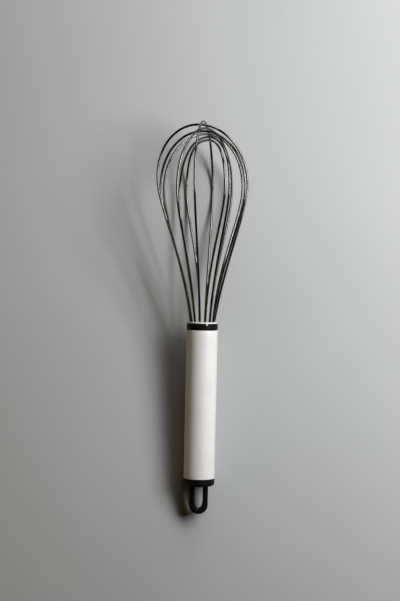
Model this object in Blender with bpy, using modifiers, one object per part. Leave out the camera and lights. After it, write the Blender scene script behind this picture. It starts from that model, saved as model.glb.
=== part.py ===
"""Balloon whisk: seven steel wire loops set in a round plastic handle with a hanging eye.

The whisk lies on its side on the plane z = 0, with its balloon towards +Y. Every piece is modelled
on the whisk's own axis, local Z, which starts at the rear face of the end cap. Local Y points down
to the surface, so a direction at angle A round the axis is (cos A, -sin A). Units are metres.
"""

import math
from collections import namedtuple

import bmesh
import bpy
from mathutils import Matrix, Vector

MM = 0.001
GAP = 0.3 * MM
SMALL_MERGE = 0.00001

# Handle, along the axis from the rear face of the end cap
HANDLE_RADIUS = 10.0 * MM
FLANGE_LENGTH = 4.5 * MM
FLANGE_EDGE_RADIUS = 1.8 * MM
TUBE_LENGTH = 95.9 * MM
TUBE_BORE_RADIUS = 9.1 * MM
COLLAR_LENGTH = 3.8 * MM
PLATE_THICKNESS = 0.75 * MM
EDGE_RADIUS = 0.3 * MM

TUBE_REAR = FLANGE_LENGTH + GAP
TUBE_FRONT = TUBE_REAR + TUBE_LENGTH
COLLAR_REAR = TUBE_FRONT + GAP
COLLAR_FRONT = COLLAR_REAR + COLLAR_LENGTH
PLATE_REAR = COLLAR_FRONT + GAP
PLATE_FRONT = PLATE_REAR + PLATE_THICKNESS

# Collar and front plate
SPIGOT_RADIUS = TUBE_BORE_RADIUS - GAP
COLLAR_SPIGOT_LENGTH = 5.2 * MM
COLLAR_BORE_RADIUS = 5.3 * MM
PLATE_RADIUS = 9.5 * MM
PLATE_SPIGOT_RADIUS = COLLAR_BORE_RADIUS - GAP
PLATE_SPIGOT_LENGTH = 6.0 * MM

# Key lug on the plate's rim, in a notch in the collar's front edge. Distances are from the axis.
KEY_ANGLE = math.radians(72.0)
LUG_WIDTH = 0.8 * MM
LUG_LENGTH = 0.9 * MM
LUG_STEP = 0.25 * MM
LUG_INNER = 9.25 * MM
LUG_OUTER = 9.95 * MM
NOTCH_FLOOR = LUG_INNER - GAP
NOTCH_WIDTH = LUG_WIDTH + 2.0 * GAP
NOTCH_LENGTH = LUG_LENGTH + GAP

# Wires
STRAND_COUNT = 14
WIRE_RADIUS = 0.75 * MM
HOLE_RADIUS = WIRE_RADIUS + GAP
STRAND_CIRCLE_RADIUS = 7.6 * MM
MOUTH_SLOPE = 0.132
FLARE_HANDLE = 40.0 * MM
BULGE_HANDLE = 18.0 * MM
FLARE_STEPS = 10
ROUND_STEPS = 8

# Wire ends inside the handle, measured back from the front of the plate
STRAIGHT_DEPTH = 9.5 * MM
NARROW_DEPTH = 17.0 * MM
NARROW_RADIUS = 6.4 * MM
HOOK_DEPTH = 29.8 * MM
HOOK_BEND_RADIUS = 1.6 * MM
HOOK_END_RADIUS = 4.2 * MM

# Core and clamp band inside the handle
CORE_FRONT = PLATE_FRONT - 17.5 * MM
CORE_LENGTH = 11.7 * MM
CORE_RADIUS = 6.6 * MM
CORE_BORE_RADIUS = 2.0 * MM
BAND_FRONT = PLATE_FRONT - 20.0 * MM
BAND_WIDTH = 6.0 * MM
BAND_THICKNESS = 0.7 * MM
BAND_INNER_RADIUS = NARROW_RADIUS + WIRE_RADIUS + GAP

# End cap
CAP_SPIGOT_LENGTH = 11.5 * MM
CAP_SPIGOT_RADIUS = 8.4 * MM
CAP_BORE_RADIUS = 6.0 * MM
CAP_FLOOR = 1.5 * MM
RIB_COUNT = 3
RIB_SPACING = 3.0 * MM
RIB_HALF_WIDTH = 0.6 * MM

# Hanging loop, moulded with the end cap
LOOP_LENGTH = 18.7 * MM
LOOP_HALF_WIDTH = 6.0 * MM
LOOP_THICKNESS = 5.0 * MM
LOOP_EDGE_RADIUS = 0.7 * MM
LOOP_ROOT = 1.5 * MM
EYE_HALF_WIDTH = 2.55 * MM
EYE_START = 0.4 * MM
EYE_LENGTH = 14.5 * MM
EYE_POINT_LENGTH = 5.2 * MM
EYE_CORNER_RADIUS = 0.6 * MM

TURNED_STEPS = 40
PASSAGE_SIDES = 12
FIRST_TILT = 0.1
TILT_ROUNDS = 20

# Each wire is one loop through two opposite holes. Its size is taken from the front of the plate:
# the angle of its first strand at the bulge, its half width, the station of its widest point, its
# length to the tip, how far its tip leans right and up, how far its middle bows to the right, and
# how full its rounded end is.
WireShape = namedtuple(
    "WireShape", "hole angle half_width widest length lean_right lean_up bow_right fullness")
WIRE_SHAPES = (
    WireShape(4, 101.5, 28.9 * MM, 87.6 * MM, 126.8 * MM, -1.6 * MM, 0.0, -0.1 * MM, 0.54),
    WireShape(0, 0.0, 28.6 * MM, 89.6 * MM, 124.8 * MM, -4.4 * MM, 0.0, 0.6 * MM, 0.56),
    WireShape(5, 127.0, 29.0 * MM, 84.6 * MM, 122.5 * MM, 0.1 * MM, 0.0, -0.1 * MM, 0.54),
    WireShape(1, 21.0, 28.9 * MM, 85.6 * MM, 120.7 * MM, -2.4 * MM, 0.0, -0.6 * MM, 0.56),
    WireShape(6, 150.0, 28.8 * MM, 84.6 * MM, 118.8 * MM, 0.6 * MM, 0.0, -1.4 * MM, 0.56),
    WireShape(2, 56.5, 28.7 * MM, 83.6 * MM, 117.0 * MM, 0.2 * MM, 0.0, -1.2 * MM, 0.62),
    WireShape(3, 66.0, 29.8 * MM, 84.6 * MM, 115.0 * MM, -0.4 * MM, -1.0 * MM, 0.3 * MM, 0.69),
)


def clear_scene():
    for old in list(bpy.data.objects):
        bpy.data.objects.remove(old, do_unlink=True)


def new_collection(name):
    collection = bpy.data.collections.new(name)
    bpy.context.scene.collection.children.link(collection)
    return collection


def make_material(name, colour, roughness, metallic):
    material = bpy.data.materials.new(name)
    material.use_nodes = True
    shader = material.node_tree.nodes["Principled BSDF"]
    shader.inputs["Base Color"].default_value = (*colour, 1.0)
    shader.inputs["Roughness"].default_value = roughness
    shader.inputs["Metallic"].default_value = metallic
    return material


def add_object(name, data, collection, material):
    piece = bpy.data.objects.new(name, data)
    if material is not None:
        data.materials.append(material)
    collection.objects.link(piece)
    piece.parent = whisk
    return piece


def make_cutter(piece):
    piece.hide_render = True
    piece.display_type = "WIRE"
    return piece


def arc(centre_radius, centre_height, radius, start, end, steps):
    """Points (radius, height) on an arc from the start angle to the end angle, in degrees."""
    points = []
    for step in range(steps + 1):
        angle = math.radians(start + (end - start) * step / steps)
        across = centre_radius + radius * math.cos(angle)
        points.append((across, centre_height + radius * math.sin(angle)))
    return points


def turned(name, profile, closed, collection, material):
    """A profile of (radius, height) points turned round local Z by a Screw modifier."""
    mesh = bpy.data.meshes.new(name)
    vertices = [(radius, 0.0, height) for radius, height in profile]
    edges = [(index, index + 1) for index in range(len(vertices) - 1)]
    if closed:
        edges.append((len(vertices) - 1, 0))
    mesh.from_pydata(vertices, edges, [])
    piece = add_object(name, mesh, collection, material)
    screw = piece.modifiers.new("Turn", "SCREW")
    screw.axis = "Z"
    screw.angle = 2.0 * math.pi
    screw.steps = TURNED_STEPS
    screw.render_steps = TURNED_STEPS
    screw.use_merge_vertices = True
    screw.merge_threshold = SMALL_MERGE
    screw.use_smooth_shade = True
    return piece


def boolean(piece, tool, operation):
    modifier = piece.modifiers.new(operation.title(), "BOOLEAN")
    modifier.operation = operation
    modifier.solver = "EXACT"
    modifier.object = tool


def passage_cutter(name, circle_radius, rear, front):
    """One round passage for each strand, on a circle about the axis."""
    mesh = bpy.data.meshes.new(name)
    cutter_mesh = bmesh.new()
    for strand in range(STRAND_COUNT):
        angle = strand_angle(strand)
        centre = direction(angle) * circle_radius + Vector((0.0, 0.0, (rear + front) / 2.0))
        bmesh.ops.create_cone(
            cutter_mesh, cap_ends=True, segments=PASSAGE_SIDES, radius1=HOLE_RADIUS, radius2=HOLE_RADIUS,
            depth=front - rear, matrix=Matrix.Translation(centre))
    cutter_mesh.to_mesh(mesh)
    cutter_mesh.free()
    return make_cutter(add_object(name, mesh, cutters, None))


def strand_angle(strand):
    return 2.0 * math.pi * strand / STRAND_COUNT


def direction(angle):
    return Vector((math.cos(angle), -math.sin(angle), 0.0))


def ease(value):
    value = min(max(value, 0.0), 1.0)
    return value * value * (3.0 - 2.0 * value)


# Wires

def bezier(start, start_handle, end_handle, end, steps):
    """Points of a cubic curve, from its start up to but not including its end."""
    corners = (start, start_handle, end_handle, end)
    points = []
    for step in range(steps):
        t = step / steps
        weights = ((1 - t) ** 3, 3 * t * (1 - t) ** 2, 3 * t * t * (1 - t), t ** 3)
        station = sum(weight * corner[0] for weight, corner in zip(weights, corners))
        radius = sum(weight * corner[1] for weight, corner in zip(weights, corners))
        points.append((station, radius))
    return points


def outer_profile(shape):
    """(station, radius) from the front of the plate to the tip: a flare, then a rounded end."""
    mouth = (0.0, STRAND_CIRCLE_RADIUS)
    mouth_handle = (FLARE_HANDLE, STRAND_CIRCLE_RADIUS + MOUTH_SLOPE * FLARE_HANDLE)
    bulge_handle = (shape.widest - BULGE_HANDLE, shape.half_width)
    bulge = (shape.widest, shape.half_width)
    round_handle = (shape.widest + shape.fullness * (shape.length - shape.widest), shape.half_width)
    tip_handle = (shape.length, shape.fullness * shape.half_width)
    tip = (shape.length, 0.0)
    points = bezier(mouth, mouth_handle, bulge_handle, bulge, FLARE_STEPS)
    points += bezier(bulge, round_handle, tip_handle, tip, ROUND_STEPS)
    return points


def inner_profile():
    """(station, radius) inside the handle: the hooked end, the core, then out to the plate."""
    bend_centre = NARROW_RADIUS - HOOK_BEND_RADIUS
    points = [(-HOOK_DEPTH - HOOK_BEND_RADIUS, HOOK_END_RADIUS)]
    for radius, depth in arc(bend_centre, HOOK_DEPTH, HOOK_BEND_RADIUS, 90.0, 0.0, 3):
        points.append((-depth, radius))
    easing_steps = 3
    for step in range(easing_steps + 1):
        part = step / easing_steps
        station = -NARROW_DEPTH + (NARROW_DEPTH - STRAIGHT_DEPTH) * part
        points.append((station, NARROW_RADIUS + (STRAND_CIRCLE_RADIUS - NARROW_RADIUS) * ease(part)))
    return points


def strand_point(shape, side, station, radius):
    """A point of one strand; the two strands of a wire are on opposite sides of the axis."""
    turn = ease(station / shape.widest)
    angle = strand_angle(shape.hole)
    angle += (math.radians(shape.angle) - angle) * turn
    along = max(station, 0.0) / shape.length
    right = shape.lean_right * along * along + shape.bow_right * 4.0 * along * (1.0 - along)
    down = -shape.lean_up * along * along
    return direction(angle) * (side * radius) + Vector((right, down, PLATE_FRONT + station))


def wire_path(shape):
    profile = inner_profile() + outer_profile(shape)
    path = [strand_point(shape, 1.0, station, radius) for station, radius in profile]
    path.append(strand_point(shape, 1.0, shape.length, 0.0))
    path += [strand_point(shape, -1.0, station, radius) for station, radius in reversed(profile)]
    return path


def build_wire(number, shape):
    curve = bpy.data.curves.new(f"wire_{number}", "CURVE")
    curve.dimensions = "3D"
    curve.bevel_depth = WIRE_RADIUS
    curve.bevel_resolution = 2
    curve.use_fill_caps = True
    path = wire_path(shape)
    spline = curve.splines.new("POLY")
    spline.points.add(len(path) - 1)
    for spline_point, position in zip(spline.points, path):
        spline_point.co = (*position, 1.0)
    return add_object(f"wire_{number}", curve, pieces, steel)


# Handle

def build_handle_tube():
    profile = arc(HANDLE_RADIUS - EDGE_RADIUS, TUBE_FRONT - EDGE_RADIUS, EDGE_RADIUS, 90.0, 0.0, 2)
    profile += arc(HANDLE_RADIUS - EDGE_RADIUS, TUBE_REAR + EDGE_RADIUS, EDGE_RADIUS, 0.0, -90.0, 2)
    profile += [(TUBE_BORE_RADIUS, TUBE_REAR), (TUBE_BORE_RADIUS, TUBE_FRONT)]
    return turned("handle_tube", profile, True, pieces, white_plastic)


def build_front_collar():
    edge = arc(HANDLE_RADIUS - EDGE_RADIUS, COLLAR_FRONT - EDGE_RADIUS, EDGE_RADIUS, 90.0, 0.0, 2)
    spigot_end = COLLAR_REAR - COLLAR_SPIGOT_LENGTH
    profile = edge + [
        (HANDLE_RADIUS, COLLAR_REAR),
        (SPIGOT_RADIUS, COLLAR_REAR),
        (SPIGOT_RADIUS, spigot_end),
        (COLLAR_BORE_RADIUS, spigot_end),
        (COLLAR_BORE_RADIUS, COLLAR_FRONT),
    ]
    collar = turned("front_collar", profile, True, pieces, black_plastic)
    passages = passage_cutter("collar_passages", STRAND_CIRCLE_RADIUS, spigot_end - GAP, COLLAR_FRONT + GAP)
    boolean(collar, passages, "DIFFERENCE")
    notch_rear = COLLAR_FRONT - NOTCH_LENGTH
    notch_outer = HANDLE_RADIUS + GAP
    notch_front = COLLAR_FRONT + GAP
    notch = key_box("collar_notch", NOTCH_FLOOR, notch_outer, NOTCH_WIDTH, notch_rear, notch_front)
    boolean(collar, notch, "DIFFERENCE")
    return collar


def key_box(name, inner, outer, width, rear, front):
    """A box across the key's direction, between two distances from the axis and two heights."""
    mesh = bpy.data.meshes.new(name)
    box = bmesh.new()
    bmesh.ops.create_cube(box, size=1.0)
    bmesh.ops.scale(box, vec=(outer - inner, width, front - rear), verts=box.verts)
    box.to_mesh(mesh)
    box.free()
    block = make_cutter(add_object(name, mesh, cutters, None))
    block.location = direction(KEY_ANGLE) * (inner + outer) / 2.0 + Vector((0.0, 0.0, (rear + front) / 2.0))
    block.rotation_euler = (0.0, 0.0, -KEY_ANGLE)
    return block


def build_front_plate():
    spigot_end = PLATE_REAR - PLATE_SPIGOT_LENGTH
    profile = [(0.0, PLATE_FRONT)]
    profile += arc(PLATE_RADIUS - EDGE_RADIUS, PLATE_FRONT - EDGE_RADIUS, EDGE_RADIUS, 90.0, 0.0, 2)
    profile += [
        (PLATE_RADIUS, PLATE_REAR),
        (PLATE_SPIGOT_RADIUS, PLATE_REAR),
        (PLATE_SPIGOT_RADIUS, spigot_end),
        (0.0, spigot_end),
    ]
    plate = turned("front_plate", profile, False, pieces, white_plastic)
    lug_front = PLATE_FRONT - LUG_STEP
    lug_rear = COLLAR_FRONT - LUG_LENGTH
    boolean(plate, key_box("key_lug", LUG_INNER, LUG_OUTER, LUG_WIDTH, lug_rear, lug_front), "UNION")
    passages = passage_cutter("plate_passages", STRAND_CIRCLE_RADIUS, PLATE_REAR - GAP, PLATE_FRONT + GAP)
    boolean(plate, passages, "DIFFERENCE")
    return plate


def build_wire_core():
    core_rear = CORE_FRONT - CORE_LENGTH
    profile = [
        (CORE_RADIUS, CORE_FRONT),
        (CORE_RADIUS, core_rear),
        (CORE_BORE_RADIUS, core_rear),
        (CORE_BORE_RADIUS, CORE_FRONT),
    ]
    core = turned("wire_core", profile, True, pieces, white_plastic)
    grooves = passage_cutter("core_grooves", NARROW_RADIUS, core_rear - GAP, CORE_FRONT + GAP)
    boolean(core, grooves, "DIFFERENCE")
    return core


def build_clamp_band():
    band_rear = BAND_FRONT - BAND_WIDTH
    outer_radius = BAND_INNER_RADIUS + BAND_THICKNESS
    profile = [
        (outer_radius, BAND_FRONT),
        (outer_radius, band_rear),
        (BAND_INNER_RADIUS, band_rear),
        (BAND_INNER_RADIUS, BAND_FRONT),
    ]
    return turned("clamp_band", profile, True, pieces, steel)


# End cap with its hanging loop

def cap_profile():
    spigot_top = FLANGE_LENGTH + CAP_SPIGOT_LENGTH
    bore_floor = FLANGE_LENGTH + CAP_FLOOR
    profile = [
        (0.0, bore_floor),
        (CAP_BORE_RADIUS, bore_floor),
        (CAP_BORE_RADIUS, spigot_top),
        (CAP_SPIGOT_RADIUS, spigot_top),
    ]
    for rib in reversed(range(RIB_COUNT)):
        rib_height = FLANGE_LENGTH + RIB_SPACING * (rib + 1)
        profile += [
            (CAP_SPIGOT_RADIUS, rib_height + RIB_HALF_WIDTH),
            (SPIGOT_RADIUS, rib_height),
            (CAP_SPIGOT_RADIUS, rib_height - RIB_HALF_WIDTH),
        ]
    profile += [(CAP_SPIGOT_RADIUS, FLANGE_LENGTH)]
    profile += arc(HANDLE_RADIUS - EDGE_RADIUS, FLANGE_LENGTH - EDGE_RADIUS, EDGE_RADIUS, 90.0, 0.0, 2)
    profile += arc(HANDLE_RADIUS - FLANGE_EDGE_RADIUS, FLANGE_EDGE_RADIUS, FLANGE_EDGE_RADIUS, 0.0, -90.0, 5)
    profile += [(0.0, 0.0)]
    return profile


def add_outline(curve, points):
    spline = curve.splines.new("POLY")
    spline.points.add(len(points) - 1)
    for spline_point, (x, y) in zip(spline.points, points):
        spline_point.co = (x, y, 0.0, 1.0)
    spline.use_cyclic_u = True


def half_ellipse(centre_y, half_width, length, steps):
    """From the right side round the -Y end to the left side."""
    points = []
    for step in range(steps + 1):
        angle = math.pi * step / steps
        points.append((half_width * math.cos(angle), centre_y - length * math.sin(angle)))
    return points


def loop_outline():
    centre = -(LOOP_LENGTH - LOOP_HALF_WIDTH)
    outline = [(-LOOP_HALF_WIDTH, LOOP_ROOT), (LOOP_HALF_WIDTH, LOOP_ROOT)]
    return outline + half_ellipse(centre, LOOP_HALF_WIDTH, LOOP_HALF_WIDTH, 16)


def eye_outline():
    corner_x = EYE_HALF_WIDTH - EYE_CORNER_RADIUS
    corner_y = -EYE_START - EYE_CORNER_RADIUS
    outline = []
    for side, start, end in ((-1.0, 180.0, 90.0), (1.0, 90.0, 0.0)):
        outline += arc(side * corner_x, corner_y, EYE_CORNER_RADIUS, start, end, 2)
    centre = -(EYE_START + EYE_LENGTH - EYE_POINT_LENGTH)
    return outline + half_ellipse(centre, EYE_HALF_WIDTH, EYE_POINT_LENGTH, 12)


def build_loop_plate():
    """The loop as a closed mesh, lying flat in the plane of the whisk's axis."""
    curve = bpy.data.curves.new("loop_outline", "CURVE")
    curve.dimensions = "2D"
    curve.fill_mode = "BOTH"
    curve.extrude = LOOP_THICKNESS / 2.0 - LOOP_EDGE_RADIUS
    curve.bevel_depth = LOOP_EDGE_RADIUS
    curve.bevel_resolution = 1
    curve.offset = -LOOP_EDGE_RADIUS
    add_outline(curve, loop_outline())
    add_outline(curve, eye_outline())
    guide = add_object("loop_outline", curve, cutters, None)
    guide.rotation_euler = (math.pi / 2.0, 0.0, 0.0)
    bpy.context.view_layer.update()
    evaluated = guide.evaluated_get(bpy.context.evaluated_depsgraph_get())
    mesh = bpy.data.meshes.new_from_object(evaluated)
    welded = bmesh.new()
    welded.from_mesh(mesh)
    bmesh.ops.remove_doubles(welded, verts=welded.verts, dist=SMALL_MERGE)
    bmesh.ops.recalc_face_normals(welded, faces=welded.faces)
    welded.to_mesh(mesh)
    welded.free()
    plate = make_cutter(add_object("loop_plate", mesh, cutters, None))
    plate.rotation_euler = guide.rotation_euler
    bpy.data.objects.remove(guide, do_unlink=True)
    return plate


def build_end_cap():
    cap = turned("end_cap", cap_profile(), False, pieces, black_plastic)
    boolean(cap, build_loop_plate(), "UNION")
    return cap


# Resting pose

def rest_tilt():
    """The angle of the axis when the cap's edge and the lowest strands both touch the surface."""
    path_points = [point for shape in WIRE_SHAPES for point in wire_path(shape)]
    tilt = FIRST_TILT
    for _ in range(TILT_ROUNDS):
        up = Vector((0.0, -math.cos(tilt), math.sin(tilt)))
        lowest = min(path_points, key=up.dot)
        balloon = up.dot(lowest) - WIRE_RADIUS
        edge_centre = HANDLE_RADIUS - FLANGE_EDGE_RADIUS
        cap = FLANGE_EDGE_RADIUS * (math.sin(tilt) - 1.0) - edge_centre * math.cos(tilt)
        tilt -= (balloon - cap) / lowest.z
    return tilt


def place_on_surface():
    """Move the whisk so that it stands on z = 0 with the centre of its box over the origin."""
    bpy.context.view_layer.update()
    graph = bpy.context.evaluated_depsgraph_get()
    corners = []
    for piece in pieces.objects:
        evaluated = piece.evaluated_get(graph)
        mesh = evaluated.to_mesh()
        corners += [evaluated.matrix_world @ vertex.co for vertex in mesh.vertices]
        evaluated.to_mesh_clear()
    low = [min(corner[axis] for corner in corners) for axis in range(3)]
    high = [max(corner[axis] for corner in corners) for axis in range(3)]
    whisk.location = (-(low[0] + high[0]) / 2.0, -(low[1] + high[1]) / 2.0, -low[2])
    bpy.context.view_layer.update()


clear_scene()
pieces = new_collection("balloon_whisk")
cutters = new_collection("cutters")
whisk = bpy.data.objects.new("whisk_axis", None)
bpy.context.scene.collection.objects.link(whisk)
white_plastic = make_material("white_plastic", (0.80, 0.79, 0.76), 0.45, 0.0)
black_plastic = make_material("black_plastic", (0.012, 0.012, 0.013), 0.40, 0.0)
steel = make_material("stainless_steel", (0.62, 0.60, 0.57), 0.22, 1.0)

build_handle_tube()
build_front_collar()
build_front_plate()
build_wire_core()
build_clamp_band()
build_end_cap()
for wire_number, wire_shape in enumerate(WIRE_SHAPES, start=1):
    build_wire(wire_number, wire_shape)

whisk.rotation_euler = (rest_tilt() - math.pi / 2.0, 0.0, 0.0)
place_on_surface()
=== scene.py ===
"""A balloon whisk lying on a plain pale floor, lit by a soft key from its right.

Every piece is made on the whisk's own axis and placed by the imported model. Local Z runs along the
whisk from the rear face of the end cap, and local Y points down to the floor, so a direction at
angle A round the axis is (cos A, -sin A). Units are metres.
"""

import math
from collections import namedtuple

import bmesh
import bpy
from mathutils import Matrix, Vector


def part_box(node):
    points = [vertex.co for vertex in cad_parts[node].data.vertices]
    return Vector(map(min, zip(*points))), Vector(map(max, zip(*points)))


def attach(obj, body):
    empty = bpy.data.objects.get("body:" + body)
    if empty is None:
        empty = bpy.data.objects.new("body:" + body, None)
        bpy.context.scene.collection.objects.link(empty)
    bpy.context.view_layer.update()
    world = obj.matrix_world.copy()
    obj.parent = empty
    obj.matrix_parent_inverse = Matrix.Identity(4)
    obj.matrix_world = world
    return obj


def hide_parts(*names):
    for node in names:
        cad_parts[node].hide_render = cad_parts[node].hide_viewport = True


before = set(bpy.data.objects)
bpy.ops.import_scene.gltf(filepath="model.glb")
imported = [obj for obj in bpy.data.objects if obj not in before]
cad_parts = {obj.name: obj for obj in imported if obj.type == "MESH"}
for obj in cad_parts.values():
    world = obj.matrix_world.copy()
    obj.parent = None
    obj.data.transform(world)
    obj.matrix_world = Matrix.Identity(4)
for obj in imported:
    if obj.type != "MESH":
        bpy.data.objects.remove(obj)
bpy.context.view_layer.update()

MM = 0.001
# Between two fitted pieces, and how far a cutting tool reaches past what it cuts
GAP = 0.3 * MM
# Vertices nearer to each other than this are merged
WELD = 0.01 * MM

# Handle, along the axis from the rear face of the end cap
HANDLE_RADIUS = 10.0 * MM
FLANGE_LENGTH = 4.5 * MM
FLANGE_EDGE_RADIUS = 1.8 * MM
FLANGE_FRONT_EDGE_RADIUS = 0.3 * MM
TUBE_LENGTH = 95.9 * MM
TUBE_BORE_RADIUS = 9.1 * MM
TUBE_EDGE_RADIUS = 0.35 * MM
COLLAR_LENGTH = 3.8 * MM
COLLAR_EDGE_RADIUS = 0.3 * MM
PLATE_THICKNESS = 0.75 * MM

TUBE_REAR = FLANGE_LENGTH + GAP
TUBE_FRONT = TUBE_REAR + TUBE_LENGTH
COLLAR_REAR = TUBE_FRONT + GAP
COLLAR_FRONT = COLLAR_REAR + COLLAR_LENGTH
PLATE_REAR = COLLAR_FRONT + GAP
PLATE_FRONT = PLATE_REAR + PLATE_THICKNESS

# Collar and front plate
SPIGOT_RADIUS = TUBE_BORE_RADIUS - GAP
COLLAR_SPIGOT_LENGTH = 5.2 * MM
COLLAR_BORE_RADIUS = 5.3 * MM
PLATE_RADIUS = 9.5 * MM
PLATE_EDGE_RADIUS = 0.3 * MM
PLATE_SPIGOT_RADIUS = COLLAR_BORE_RADIUS - GAP
PLATE_SPIGOT_LENGTH = 6.0 * MM

# Key lug on the plate's rim, in a notch in the collar's front edge. Distances are from the axis.
KEY_ANGLE = math.radians(72.0)
LUG_WIDTH = 0.8 * MM
LUG_LENGTH = 0.9 * MM
LUG_STEP = 0.25 * MM
LUG_INNER = 9.25 * MM
LUG_OUTER = 9.95 * MM
NOTCH_FLOOR = LUG_INNER - GAP
NOTCH_WIDTH = LUG_WIDTH + 2.0 * GAP
NOTCH_LENGTH = LUG_LENGTH + GAP

# Wires
STRAND_COUNT = 14
WIRE_RADIUS = 0.75 * MM
HOLE_RADIUS = WIRE_RADIUS + GAP
STRAND_CIRCLE_RADIUS = 7.6 * MM
MOUTH_SLOPE = 0.132
FLARE_HANDLE = 40.0 * MM
BULGE_HANDLE = 18.0 * MM
FLARE_STEPS = 64
ROUND_STEPS = 48
HOOK_STEPS = 6
NARROWING_STEPS = 8
WIRE_SIDES = 20

# Wire ends inside the handle, measured back from the front of the plate
STRAIGHT_DEPTH = 9.5 * MM
NARROW_DEPTH = 17.0 * MM
NARROW_RADIUS = 6.4 * MM
HOOK_DEPTH = 29.8 * MM
HOOK_BEND_RADIUS = 1.6 * MM
HOOK_END_RADIUS = 4.2 * MM

# End cap and hanging loop
CAP_SPIGOT_LENGTH = 11.5 * MM
CAP_SPIGOT_RADIUS = 8.4 * MM
CAP_BORE_RADIUS = 6.0 * MM
CAP_FLOOR = 1.5 * MM
LOOP_LENGTH = 18.7 * MM
LOOP_HALF_WIDTH = 6.0 * MM
LOOP_THICKNESS = 5.0 * MM
LOOP_EDGE_RADIUS = 0.9 * MM
LOOP_ROOT = 1.5 * MM
LOOP_FILLET = 0.5 * MM
EYE_HALF_WIDTH = 2.55 * MM
EYE_START = 0.4 * MM
EYE_LENGTH = 14.5 * MM
EYE_POINT_LENGTH = 5.2 * MM
EYE_CORNER_RADIUS = 0.6 * MM

# How finely the curves are stepped
TURNED_STEPS = 128
TUBE_STEPS = 24
EDGE_STEPS = 5
FLANGE_EDGE_STEPS = 14
PASSAGE_SIDES = 32
LOOP_END_STEPS = 64
LOOP_EDGE_STEPS = 5
EYE_POINT_STEPS = 48
EYE_CORNER_STEPS = 6
FILLET_STEPS = 4

# Edges sharper than this, in degrees, keep a crease in the shading
TUBE_CREASE = 50.0
MOULDING_CREASE = 35.0

# The loop's root is the edge on the cap's rear face between a face that looks back along the axis
# and one that doesn't
ROOT_TOLERANCE = 0.02 * MM
LOOKS_BACK = 0.9
LOOKS_ASIDE = 0.5

# Camera: its lens and sensor in millimetres, as Blender counts them, and its place from the centre
# of the end cap's rear face
CAMERA_LENS = 86.26
CAMERA_SENSOR = 36.0
CAMERA_HEIGHT = 944.2 * MM
CAMERA_FROM_CAP = (-0.33 * MM, 50.6 * MM, 0.0)
CAMERA_SHIFT = 0.1776
CAMERA_ROLL = 0.0212

# Each wire is one loop through two opposite holes. Its size is taken from the front of the plate:
# the angle of its first strand at the bulge, its half width, the station of its widest point, its
# length to the tip, how far its tip leans right and up, how far its middle bows to the right, and
# how full its rounded end is.
WireShape = namedtuple(
    "WireShape", "hole angle half_width widest length lean_right lean_up bow_right fullness")
WIRE_SHAPES = (
    WireShape(4, 101.5, 28.9 * MM, 87.6 * MM, 126.8 * MM, -1.6 * MM, 0.0, -0.1 * MM, 0.54),
    WireShape(0, 0.0, 28.6 * MM, 89.6 * MM, 124.8 * MM, -4.4 * MM, 0.0, 0.6 * MM, 0.56),
    WireShape(5, 127.0, 29.0 * MM, 84.6 * MM, 122.5 * MM, 0.1 * MM, 0.0, -0.1 * MM, 0.54),
    WireShape(1, 21.0, 28.9 * MM, 85.6 * MM, 120.7 * MM, -2.4 * MM, 0.0, -0.6 * MM, 0.56),
    WireShape(6, 150.0, 28.8 * MM, 84.6 * MM, 118.8 * MM, 0.6 * MM, 0.0, -1.4 * MM, 0.56),
    WireShape(2, 56.5, 28.7 * MM, 83.6 * MM, 117.0 * MM, 0.2 * MM, 0.0, -1.2 * MM, 0.62),
    WireShape(3, 66.0, 29.8 * MM, 84.6 * MM, 115.0 * MM, -0.4 * MM, -1.0 * MM, 0.3 * MM, 0.69),
)

# Studio. Each light has its place, its width and height, its power in watts and its colour.
FLOOR_HALF_WIDTH = 1.5
ROOM_COLOUR = (0.007, 0.0053, 0.0035, 1.0)
LIGHT_TARGET = (0.0, 0.0, 0.02)
StudioLight = namedtuple("StudioLight", "name place size power colour")
STUDIO_LIGHTS = (
    StudioLight("window", (0.36, 0.18, 0.395), (0.49, 0.20), 4.1, (1.0, 0.995, 0.98)),
    StudioLight("tip_light", (0.16, 0.80, 0.36), (0.34, 0.40), 2.6, (1.0, 0.99, 0.97)),
    StudioLight("warm_bounce", (-1.0, -0.2, 0.35), (0.8, 0.6), 0.70, (1.0, 0.60, 0.05)),
)


# Placing

def box_centre(node):
    low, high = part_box(node)
    return (Vector(low) + Vector(high)) / 2.0


def whisk_matrix():
    """From the whisk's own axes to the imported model's, read from two pieces round the axis."""
    tube_centre = box_centre("handle_tube")
    core_centre = box_centre("wire_core")
    axis = (core_centre - tube_centre).normalized()
    right = Vector((1.0, 0.0, 0.0))
    down = axis.cross(right).normalized()
    origin = tube_centre - axis * (TUBE_REAR + TUBE_FRONT) / 2.0
    matrix = Matrix((right, down, axis)).transposed().to_4x4()
    matrix.translation = origin
    return matrix


whisk_to_model = whisk_matrix()


def direction(angle):
    """The direction at an angle round the axis, measured up from the whisk's right side."""
    return Vector((math.cos(angle), -math.sin(angle), 0.0))


def strand_angle(strand):
    return 2.0 * math.pi * strand / STRAND_COUNT


def ease(value):
    """From 0 to 1 with a gentle start and end."""
    value = min(max(value, 0.0), 1.0)
    return value * value * (3.0 - 2.0 * value)


# Mesh helpers

def mesh_object(name, mesh_data):
    """A mesh object from a bmesh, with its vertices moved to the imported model's place."""
    mesh_data.transform(whisk_to_model)
    bmesh.ops.recalc_face_normals(mesh_data, faces=mesh_data.faces)
    mesh = bpy.data.meshes.new(name)
    mesh_data.to_mesh(mesh)
    mesh_data.free()
    mesh.shade_smooth()
    piece = bpy.data.objects.new(name, mesh)
    bpy.context.scene.collection.objects.link(piece)
    return piece


def dress(piece, node, material):
    """Give a piece its material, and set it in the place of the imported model's node."""
    piece.data.materials.clear()
    piece.data.materials.append(material)
    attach(piece, "root")
    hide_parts(node)


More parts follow.
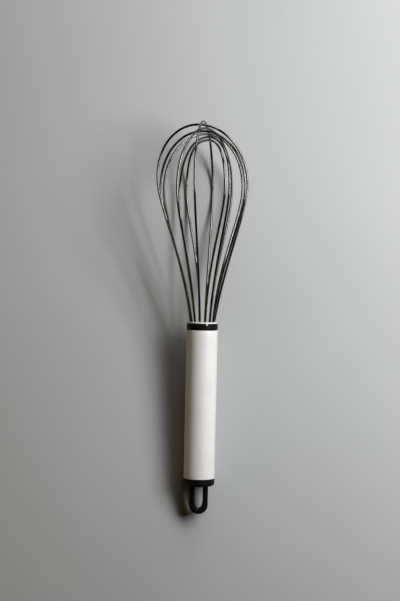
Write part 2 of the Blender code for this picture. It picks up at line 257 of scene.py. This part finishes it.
def apply_modifiers(piece):
    bpy.context.view_layer.update()
    evaluated = piece.evaluated_get(bpy.context.evaluated_depsgraph_get())
    mesh = bpy.data.meshes.new_from_object(evaluated)
    piece.modifiers.clear()
    piece.data = mesh


def arc(centre_radius, centre_height, radius, start, end, steps):
    """Points (radius, height) on an arc from the start angle to the end angle, in degrees."""
    points = []
    for step in range(steps + 1):
        angle = math.radians(start + (end - start) * step / steps)
        across = centre_radius + radius * math.cos(angle)
        points.append((across, centre_height + radius * math.sin(angle)))
    return points


def front_rim(radius, front, rounding):
    """The rounded front rim of a turned piece, from its face to its side."""
    return arc(radius - rounding, front - rounding, rounding, 90.0, 0.0, EDGE_STEPS)


def rear_rim(radius, rear, rounding, steps):
    """The rounded rear rim of a turned piece, from its side to its face."""
    return arc(radius - rounding, rear + rounding, rounding, 0.0, -90.0, steps)


def turned(profile, closed):
    """A profile of (radius, height) points spun round local Z. A closed one joins its two ends."""
    shape = bmesh.new()
    vertices = [shape.verts.new((radius, 0.0, height)) for radius, height in profile]
    pairs = list(zip(vertices, vertices[1:]))
    if closed:
        pairs.append((vertices[-1], vertices[0]))
    edges = [shape.edges.new(pair) for pair in pairs]
    bmesh.ops.spin(
        shape, geom=vertices + edges, axis=(0.0, 0.0, 1.0), cent=(0.0, 0.0, 0.0),
        steps=TURNED_STEPS, angle=2.0 * math.pi)
    bmesh.ops.remove_doubles(shape, verts=shape.verts, dist=WELD)
    return shape


def weld(piece):
    """Merge the vertices that a boolean leaves almost on top of each other, and drop flat faces."""
    shape = bmesh.new()
    shape.from_mesh(piece.data)
    bmesh.ops.remove_doubles(shape, verts=shape.verts, dist=WELD)
    bmesh.ops.dissolve_degenerate(shape, edges=shape.edges, dist=WELD)
    shape.to_mesh(piece.data)
    shape.free()


def combine(piece, tool, operation):
    """Cut a tool from a piece or join it on, and remove the tool."""
    modifier = piece.modifiers.new("Combine", "BOOLEAN")
    modifier.operation = operation
    modifier.solver = "EXACT"
    modifier.object = tool
    apply_modifiers(piece)
    weld(piece)
    bpy.data.objects.remove(tool, do_unlink=True)


def key_tool(inner, outer, width, rear, front):
    """A box at the key's angle, between two distances from the axis and two heights along it."""
    box = bmesh.new()
    bmesh.ops.create_cube(box, size=1.0)
    bmesh.ops.scale(box, vec=(outer - inner, width, front - rear), verts=box.verts)
    height = Vector((0.0, 0.0, (rear + front) / 2.0))
    centre = direction(KEY_ANGLE) * (inner + outer) / 2.0 + height
    box.transform(Matrix.Translation(centre) @ Matrix.Rotation(-KEY_ANGLE, 4, "Z"))
    return mesh_object("key", box)


def passage_tool(rear, front):
    """One round passage for each strand, on the strands' circle about the axis."""
    shape = bmesh.new()
    height = Vector((0.0, 0.0, (rear + front) / 2.0))
    for strand in range(STRAND_COUNT):
        centre = direction(strand_angle(strand)) * STRAND_CIRCLE_RADIUS + height
        bmesh.ops.create_cone(
            shape, cap_ends=True, segments=PASSAGE_SIDES, radius1=HOLE_RADIUS,
            radius2=HOLE_RADIUS, depth=front - rear, matrix=Matrix.Translation(centre))
    return mesh_object("passages", shape)


# Wires

def bezier(start, start_handle, end_handle, end, steps):
    """Points of a cubic curve, from its start up to but not including its end."""
    points = []
    for step in range(steps):
        t = step / steps
        weights = ((1 - t) ** 3, 3 * t * (1 - t) ** 2, 3 * t * t * (1 - t), t ** 3)
        corners = (start, start_handle, end_handle, end)
        station = sum(weight * corner[0] for weight, corner in zip(weights, corners))
        radius = sum(weight * corner[1] for weight, corner in zip(weights, corners))
        points.append((station, radius))
    return points


def outer_profile(shape):
    """(station, radius) from the front of the plate to the tip: a flare, then a rounded end."""
    mouth = (0.0, STRAND_CIRCLE_RADIUS)
    mouth_handle = (FLARE_HANDLE, STRAND_CIRCLE_RADIUS + MOUTH_SLOPE * FLARE_HANDLE)
    bulge_handle = (shape.widest - BULGE_HANDLE, shape.half_width)
    bulge = (shape.widest, shape.half_width)
    round_handle = (shape.widest + shape.fullness * (shape.length - shape.widest), shape.half_width)
    tip_handle = (shape.length, shape.fullness * shape.half_width)
    tip = (shape.length, 0.0)
    points = bezier(mouth, mouth_handle, bulge_handle, bulge, FLARE_STEPS)
    points += bezier(bulge, round_handle, tip_handle, tip, ROUND_STEPS)
    return points


def inner_profile():
    """(station, radius) inside the handle: the hooked end, the core, then out to the plate."""
    bend_centre = NARROW_RADIUS - HOOK_BEND_RADIUS
    points = [(-HOOK_DEPTH - HOOK_BEND_RADIUS, HOOK_END_RADIUS)]
    for radius, depth in arc(bend_centre, HOOK_DEPTH, HOOK_BEND_RADIUS, 90.0, 0.0, HOOK_STEPS):
        points.append((-depth, radius))
    widening = STRAND_CIRCLE_RADIUS - NARROW_RADIUS
    for step in range(NARROWING_STEPS + 1):
        part = step / NARROWING_STEPS
        station = -NARROW_DEPTH + (NARROW_DEPTH - STRAIGHT_DEPTH) * part
        points.append((station, NARROW_RADIUS + widening * ease(part)))
    return points


def strand_point(shape, side, station, radius):
    """A point of one strand; the two strands of a wire are on opposite sides of the axis."""
    turn = ease(station / shape.widest)
    angle = strand_angle(shape.hole)
    angle += (math.radians(shape.angle) - angle) * turn
    along = max(station, 0.0) / shape.length
    right = shape.lean_right * along * along + shape.bow_right * 4.0 * along * (1.0 - along)
    down = -shape.lean_up * along * along
    return direction(angle) * (side * radius) + Vector((right, down, PLATE_FRONT + station))


def wire_path(shape):
    """The centre line of one wire: up its first strand to the tip, and down the opposite one."""
    profile = inner_profile() + outer_profile(shape)
    path = [strand_point(shape, 1.0, station, radius) for station, radius in profile]
    path.append(strand_point(shape, 1.0, shape.length, 0.0))
    path += [strand_point(shape, -1.0, station, radius) for station, radius in reversed(profile)]
    return path


def sweep(path, radius, sides):
    """A round wire along a path. Its UV map holds the angle round it and the length along it."""
    shape = bmesh.new()
    uv_layer = shape.loops.layers.uv.new("UVMap")
    tangents = []
    for index in range(len(path)):
        before = path[max(index - 1, 0)]
        after = path[min(index + 1, len(path) - 1)]
        tangents.append((after - before).normalized())
    across = tangents[0].orthogonal().normalized()
    rings = []
    lengths = [0.0]
    for index, (point, tangent) in enumerate(zip(path, tangents)):
        if index > 0:
            lengths.append(lengths[-1] + (point - path[index - 1]).length)
        across = (across - tangent * across.dot(tangent)).normalized()
        up = tangent.cross(across)
        ring = []
        for side in range(sides):
            angle = 2.0 * math.pi * side / sides
            outward = across * math.cos(angle) + up * math.sin(angle)
            ring.append(shape.verts.new(point + outward * radius))
        rings.append(ring)
    for index in range(len(rings) - 1):
        for side in range(sides):
            next_side = (side + 1) % sides
            face = shape.faces.new((
                rings[index][side], rings[index][next_side],
                rings[index + 1][next_side], rings[index + 1][side]))
            turns = (side, side + 1, side + 1, side)
            marks = (index, index, index + 1, index + 1)
            for loop, turn, mark in zip(face.loops, turns, marks):
                loop[uv_layer].uv = (turn / sides, lengths[mark] / (2.0 * math.pi * radius))
    shape.faces.new(list(reversed(rings[0])))
    shape.faces.new(rings[-1])
    return shape


def build_wires():
    for number, shape in enumerate(WIRE_SHAPES, start=1):
        node = f"wire_{number}"
        wire = mesh_object(f"{node}_fine", sweep(wire_path(shape), WIRE_RADIUS, WIRE_SIDES))
        dress(wire, node, steel)


# Handle

def build_handle_tube():
    profile = front_rim(HANDLE_RADIUS, TUBE_FRONT, TUBE_EDGE_RADIUS)
    straight = TUBE_LENGTH - 2.0 * TUBE_EDGE_RADIUS
    for step in range(1, TUBE_STEPS):
        height = TUBE_FRONT - TUBE_EDGE_RADIUS - straight * step / TUBE_STEPS
        profile.append((HANDLE_RADIUS, height))
    profile += rear_rim(HANDLE_RADIUS, TUBE_REAR, TUBE_EDGE_RADIUS, EDGE_STEPS)
    profile += [(TUBE_BORE_RADIUS, TUBE_REAR), (TUBE_BORE_RADIUS, TUBE_FRONT)]
    tube = mesh_object("handle_tube_fine", turned(profile, closed=True))
    tube.data.set_sharp_from_angle(angle=math.radians(TUBE_CREASE))
    dress(tube, "handle_tube", white_plastic)


def build_front_collar():
    spigot_end = COLLAR_REAR - COLLAR_SPIGOT_LENGTH
    profile = front_rim(HANDLE_RADIUS, COLLAR_FRONT, COLLAR_EDGE_RADIUS)
    profile += rear_rim(HANDLE_RADIUS, COLLAR_REAR, COLLAR_EDGE_RADIUS, EDGE_STEPS)
    profile += [
        (SPIGOT_RADIUS, COLLAR_REAR),
        (SPIGOT_RADIUS, spigot_end),
        (COLLAR_BORE_RADIUS, spigot_end),
        (COLLAR_BORE_RADIUS, COLLAR_FRONT),
    ]
    collar = mesh_object("front_collar_fine", turned(profile, closed=True))
    passages = passage_tool(spigot_end - GAP, COLLAR_FRONT + GAP)
    notch_rear = COLLAR_FRONT - NOTCH_LENGTH
    notch_outer = HANDLE_RADIUS + GAP
    notch = key_tool(NOTCH_FLOOR, notch_outer, NOTCH_WIDTH, notch_rear, COLLAR_FRONT + GAP)
    combine(collar, passages, "DIFFERENCE")
    combine(collar, notch, "DIFFERENCE")
    collar.data.set_sharp_from_angle(angle=math.radians(MOULDING_CREASE))
    dress(collar, "front_collar", black_plastic)


def build_front_plate():
    spigot_end = PLATE_REAR - PLATE_SPIGOT_LENGTH
    profile = [(0.0, PLATE_FRONT)]
    profile += front_rim(PLATE_RADIUS, PLATE_FRONT, PLATE_EDGE_RADIUS)
    profile += [
        (PLATE_RADIUS, PLATE_REAR),
        (PLATE_SPIGOT_RADIUS, PLATE_REAR),
        (PLATE_SPIGOT_RADIUS, spigot_end),
        (0.0, spigot_end),
    ]
    plate = mesh_object("front_plate_fine", turned(profile, closed=False))
    lug_front = PLATE_FRONT - LUG_STEP
    lug_rear = COLLAR_FRONT - LUG_LENGTH
    lug = key_tool(LUG_INNER, LUG_OUTER, LUG_WIDTH, lug_rear, lug_front)
    combine(plate, lug, "UNION")
    passages = passage_tool(PLATE_REAR - GAP, PLATE_FRONT + GAP)
    combine(plate, passages, "DIFFERENCE")
    plate.data.set_sharp_from_angle(angle=math.radians(MOULDING_CREASE))
    dress(plate, "front_plate", white_plastic)


# End cap with its hanging loop

def cap_profile():
    """From the floor of its bore, over the spigot and flange, to the middle of the rear face."""
    spigot_top = FLANGE_LENGTH + CAP_SPIGOT_LENGTH
    bore_floor = FLANGE_LENGTH + CAP_FLOOR
    profile = [
        (0.0, bore_floor),
        (CAP_BORE_RADIUS, bore_floor),
        (CAP_BORE_RADIUS, spigot_top),
        (CAP_SPIGOT_RADIUS, spigot_top),
        (CAP_SPIGOT_RADIUS, FLANGE_LENGTH),
    ]
    profile += front_rim(HANDLE_RADIUS, FLANGE_LENGTH, FLANGE_FRONT_EDGE_RADIUS)
    profile += rear_rim(HANDLE_RADIUS, 0.0, FLANGE_EDGE_RADIUS, FLANGE_EDGE_STEPS)
    return profile + [(0.0, 0.0)]


def half_ellipse(centre_y, half_width, length, steps):
    """From the right side round the -Y end to the left side."""
    points = []
    for step in range(steps + 1):
        angle = math.pi * step / steps
        points.append((half_width * math.cos(angle), centre_y - length * math.sin(angle)))
    return points


def loop_outline():
    """The loop's outer edge: straight sides out of the cap, and a round end."""
    centre = -(LOOP_LENGTH - LOOP_HALF_WIDTH)
    outline = [(-LOOP_HALF_WIDTH, LOOP_ROOT), (LOOP_HALF_WIDTH, LOOP_ROOT)]
    return outline + half_ellipse(centre, LOOP_HALF_WIDTH, LOOP_HALF_WIDTH, LOOP_END_STEPS)


def eye_outline():
    """The eye: a flat end with rounded corners at the cap, and a pointed end away from it."""
    corner_x = EYE_HALF_WIDTH - EYE_CORNER_RADIUS
    corner_y = -EYE_START - EYE_CORNER_RADIUS
    outline = []
    for side, start, end in ((-1.0, 180.0, 90.0), (1.0, 90.0, 0.0)):
        corner = arc(side * corner_x, corner_y, EYE_CORNER_RADIUS, start, end, EYE_CORNER_STEPS)
        outline += corner
    centre = -(EYE_START + EYE_LENGTH - EYE_POINT_LENGTH)
    return outline + half_ellipse(centre, EYE_HALF_WIDTH, EYE_POINT_LENGTH, EYE_POINT_STEPS)


def add_outline(curve, points):
    """A closed outline in a flat curve. One inside another leaves a hole."""
    spline = curve.splines.new("POLY")
    spline.points.add(len(points) - 1)
    for spline_point, (x, y) in zip(spline.points, points):
        spline_point.co = (x, y, 0.0, 1.0)
    spline.use_cyclic_u = True


def loop_plate():
    """The loop as a closed mesh with rounded edges, flat in the plane of the whisk's axis."""
    curve = bpy.data.curves.new("loop_outline", "CURVE")
    curve.dimensions = "2D"
    curve.fill_mode = "BOTH"
    curve.extrude = LOOP_THICKNESS / 2.0 - LOOP_EDGE_RADIUS
    curve.bevel_depth = LOOP_EDGE_RADIUS
    curve.bevel_resolution = LOOP_EDGE_STEPS
    curve.offset = -LOOP_EDGE_RADIUS
    add_outline(curve, loop_outline())
    add_outline(curve, eye_outline())
    guide = bpy.data.objects.new("loop_outline", curve)
    bpy.context.scene.collection.objects.link(guide)
    bpy.context.view_layer.update()
    evaluated = guide.evaluated_get(bpy.context.evaluated_depsgraph_get())
    flat_mesh = bpy.data.meshes.new_from_object(evaluated)
    bpy.data.objects.remove(guide, do_unlink=True)
    shape = bmesh.new()
    shape.from_mesh(flat_mesh)
    bpy.data.meshes.remove(flat_mesh)
    bmesh.ops.remove_doubles(shape, verts=shape.verts, dist=WELD)
    shape.transform(Matrix.Rotation(math.pi / 2.0, 4, "X"))
    return mesh_object("loop_plate", shape)


def mark_loop_root(piece):
    """Weight the edges where the loop meets the rear face, for a moulded fillet."""
    model_to_whisk = whisk_to_model.inverted()
    mesh = piece.data
    weights = mesh.attributes.new("bevel_weight_edge", "FLOAT", "EDGE")
    reach = LOOP_HALF_WIDTH + ROOT_TOLERANCE
    places = [model_to_whisk @ vertex.co for vertex in mesh.vertices]
    faces_of_edge = {}
    for polygon in mesh.polygons:
        for key in polygon.edge_keys:
            faces_of_edge.setdefault(key, []).append(polygon)
    rear = Vector((0.0, 0.0, -1.0))
    turn = model_to_whisk.to_3x3()
    for edge in mesh.edges:
        first, second = (places[index] for index in edge.vertices)
        flat = max(abs(first.z), abs(second.z)) < ROOT_TOLERANCE
        near = max(abs(first.x), abs(second.x), abs(first.y), abs(second.y)) < reach
        if not (flat and near):
            continue
        facing = [(turn @ polygon.normal).dot(rear) for polygon in faces_of_edge[edge.key]]
        if len(facing) == 2 and max(facing) > LOOKS_BACK and min(facing) < LOOKS_ASIDE:
            weights.data[edge.index].value = 1.0


def build_end_cap():
    cap = mesh_object("end_cap_fine", turned(cap_profile(), closed=False))
    combine(cap, loop_plate(), "UNION")
    mark_loop_root(cap)
    fillet = cap.modifiers.new("Fillet", "BEVEL")
    fillet.width = LOOP_FILLET
    fillet.segments = FILLET_STEPS
    fillet.limit_method = "WEIGHT"
    apply_modifiers(cap)
    cap.data.shade_smooth()
    cap.data.set_sharp_from_angle(angle=math.radians(MOULDING_CREASE))
    dress(cap, "end_cap", black_plastic)


# Materials

def new_material(name, colour, roughness, metallic):
    material = bpy.data.materials.new(name)
    material.use_nodes = True
    tree = material.node_tree
    shader = tree.nodes["Principled BSDF"]
    shader.inputs["Base Color"].default_value = (*colour, 1.0)
    shader.inputs["Roughness"].default_value = roughness
    shader.inputs["Metallic"].default_value = metallic
    return material, tree, shader


def add_noise(tree, vector, scale, detail):
    noise = tree.nodes.new("ShaderNodeTexNoise")
    noise.inputs["Scale"].default_value = scale
    noise.inputs["Detail"].default_value = detail
    tree.links.new(vector, noise.inputs["Vector"])
    return noise.outputs["Fac"]


def add_mapping(tree, output, scale):
    mapping = tree.nodes.new("ShaderNodeMapping")
    mapping.inputs["Scale"].default_value = scale
    tree.links.new(output, mapping.inputs["Vector"])
    return mapping.outputs["Vector"]


def add_range(tree, value, low, high, new_low=0.0, new_high=1.0):
    """A value between low and high, spread over the new range and held inside it."""
    spread = tree.nodes.new("ShaderNodeMapRange")
    spread.inputs["From Min"].default_value = low
    spread.inputs["From Max"].default_value = high
    spread.inputs["To Min"].default_value = new_low
    spread.inputs["To Max"].default_value = new_high
    tree.links.new(value, spread.inputs["Value"])
    return spread.outputs["Result"]


def new_mix(tree, factor, second):
    mix = tree.nodes.new("ShaderNodeMix")
    mix.data_type = "RGBA"
    mix.inputs["B"].default_value = (*second, 1.0)
    tree.links.new(factor, mix.inputs["Factor"])
    return mix


def add_mix(tree, factor, first, second):
    """Between two colours, as the factor says."""
    mix = new_mix(tree, factor, second)
    mix.inputs["A"].default_value = (*first, 1.0)
    return mix.outputs["Result"]


def add_layer(tree, factor, under, colour):
    """A colour laid over another node's colour, as far as the factor says."""
    mix = new_mix(tree, factor, colour)
    tree.links.new(under, mix.inputs["A"])
    return mix.outputs["Result"]


def add_bump(tree, shader, height, strength, distance):
    bump = tree.nodes.new("ShaderNodeBump")
    bump.inputs["Strength"].default_value = strength
    bump.inputs["Distance"].default_value = distance
    tree.links.new(height, bump.inputs["Height"])
    tree.links.new(bump.outputs["Normal"], shader.inputs["Normal"])


def coordinates(tree, kind):
    return tree.nodes.new("ShaderNodeTexCoord").outputs[kind]


def make_white_plastic():
    """Satin white moulding with an uneven tone, faint smudges and scuffs along the grip."""
    material, tree, shader = new_material(
        "white_moulded_plastic", (0.72, 0.718, 0.708), roughness=0.42, metallic=0.0)
    place = coordinates(tree, "Object")
    cloud = add_noise(tree, place, scale=45.0, detail=3.0)
    tint = add_range(tree, cloud, 0.35, 0.65)
    clean = add_mix(tree, tint, (0.690, 0.688, 0.678), (0.740, 0.739, 0.730))
    smear = add_mapping(tree, place, (140.0, 28.0, 140.0))
    smudges = add_range(tree, add_noise(tree, smear, scale=1.0, detail=5.0), 0.58, 0.80)
    soiled = add_layer(tree, smudges, clean, (0.62, 0.61, 0.585))
    tree.links.new(soiled, shader.inputs["Base Color"])
    lengthwise = add_mapping(tree, place, (900.0, 60.0, 900.0))
    scuffs = add_noise(tree, lengthwise, scale=1.0, detail=4.0)
    roughness = add_range(tree, scuffs, 0.3, 0.7, new_low=0.34, new_high=0.48)
    tree.links.new(roughness, shader.inputs["Roughness"])
    grain = add_noise(tree, place, scale=2200.0, detail=2.0)
    add_bump(tree, shader, grain, strength=0.06, distance=0.05 * MM)
    return material


def make_black_plastic():
    """Dark moulding with a fine grain and a few pale specks of dust."""
    material, tree, shader = new_material(
        "black_moulded_plastic", (0.009, 0.009, 0.010), roughness=0.50, metallic=0.0)
    shader.inputs["Specular IOR Level"].default_value = 0.08
    place = coordinates(tree, "Object")
    cloud = add_noise(tree, place, scale=160.0, detail=4.0)
    clean = add_mix(tree, cloud, (0.0025, 0.0025, 0.003), (0.006, 0.006, 0.0065))
    dust = add_range(tree, add_noise(tree, place, scale=1100.0, detail=1.0), 0.71, 0.80)
    dusty = add_layer(tree, dust, clean, (0.09, 0.088, 0.084))
    tree.links.new(dusty, shader.inputs["Base Color"])
    roughness = add_range(tree, cloud, 0.3, 0.7, new_low=0.36, new_high=0.48)
    tree.links.new(roughness, shader.inputs["Roughness"])
    grain = add_noise(tree, place, scale=3000.0, detail=2.0)
    add_bump(tree, shader, grain, strength=0.10, distance=0.05 * MM)
    return material


def make_steel():
    """Drawn stainless wire: dark, with fine scratches along its length and duller patches."""
    material, tree, shader = new_material(
        "drawn_stainless_wire", (0.145, 0.143, 0.139), roughness=0.12, metallic=1.0)
    lengthwise = add_mapping(tree, coordinates(tree, "UV"), (26.0, 0.35, 1.0))
    streaks = add_noise(tree, lengthwise, scale=1.0, detail=3.0)
    patches = add_noise(tree, coordinates(tree, "Object"), scale=120.0, detail=3.0)
    tarnish = add_range(tree, patches, 0.35, 0.65)
    colour = add_mix(tree, tarnish, (0.098, 0.097, 0.094), (0.190, 0.188, 0.183))
    tree.links.new(colour, shader.inputs["Base Color"])
    roughness = add_range(tree, streaks, 0.3, 0.7, new_low=0.08, new_high=0.16)
    tree.links.new(roughness, shader.inputs["Roughness"])
    add_bump(tree, shader, streaks, strength=0.12, distance=0.02 * MM)
    return material


def make_floor_material():
    """A matt pale surface with broad, faint clouds."""
    material, tree, shader = new_material(
        "pale_floor", (0.433, 0.443, 0.456), roughness=0.85, metallic=0.0)
    cloud = add_noise(tree, coordinates(tree, "Object"), scale=9.0, detail=4.0)
    colour = add_mix(tree, cloud, (0.408, 0.418, 0.430), (0.457, 0.468, 0.481))
    tree.links.new(colour, shader.inputs["Base Color"])
    return material


# Studio

def build_floor():
    shape = bmesh.new()
    bmesh.ops.create_grid(shape, x_segments=1, y_segments=1, size=FLOOR_HALF_WIDTH)
    mesh = bpy.data.meshes.new("floor")
    shape.to_mesh(mesh)
    shape.free()
    floor = bpy.data.objects.new("floor", mesh)
    floor.data.materials.append(make_floor_material())
    bpy.context.scene.collection.objects.link(floor)


def add_area_light(studio_light):
    light = bpy.data.lights.new(studio_light.name, "AREA")
    light.shape = "RECTANGLE"
    light.size, light.size_y = studio_light.size
    light.energy = studio_light.power
    light.color = studio_light.colour
    lamp = bpy.data.objects.new(studio_light.name, light)
    lamp.location = studio_light.place
    aim = Vector(LIGHT_TARGET) - Vector(studio_light.place)
    lamp.rotation_euler = aim.to_track_quat("-Z", "Y").to_euler()
    bpy.context.scene.collection.objects.link(lamp)


def build_lights():
    """A soft key from the right, a light past the tip for the wires, and a weak warm bounce."""
    for studio_light in STUDIO_LIGHTS:
        add_area_light(studio_light)
    world = bpy.data.worlds.new("studio")
    world.use_nodes = True
    background = world.node_tree.nodes["Background"]
    background.inputs["Color"].default_value = ROOM_COLOUR
    background.inputs["Strength"].default_value = 1.0
    bpy.context.scene.world = world
    bpy.context.scene.view_settings.view_transform = "Standard"


def build_camera():
    """Overhead, square to the floor, with its frame moved up towards the balloon."""
    camera_data = bpy.data.cameras.new("overhead")
    camera_data.lens = CAMERA_LENS
    camera_data.sensor_width = CAMERA_SENSOR
    camera_data.shift_y = CAMERA_SHIFT
    camera = bpy.data.objects.new("overhead", camera_data)
    place = whisk_to_model.translation + Vector(CAMERA_FROM_CAP)
    camera.location = (place.x, place.y, CAMERA_HEIGHT)
    camera.rotation_euler = (0.0, 0.0, CAMERA_ROLL)
    bpy.context.scene.collection.objects.link(camera)
    bpy.context.scene.camera = camera


white_plastic = make_white_plastic()
black_plastic = make_black_plastic()
steel = make_steel()

build_handle_tube()
build_front_collar()
build_front_plate()
build_end_cap()
build_wires()
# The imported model's own two pieces inside the handle only get their materials
for hidden_node, hidden_material in (("wire_core", white_plastic), ("clamp_band", steel)):
    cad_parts[hidden_node].data.materials[0] = hidden_material

build_floor()
build_lights()
build_camera()
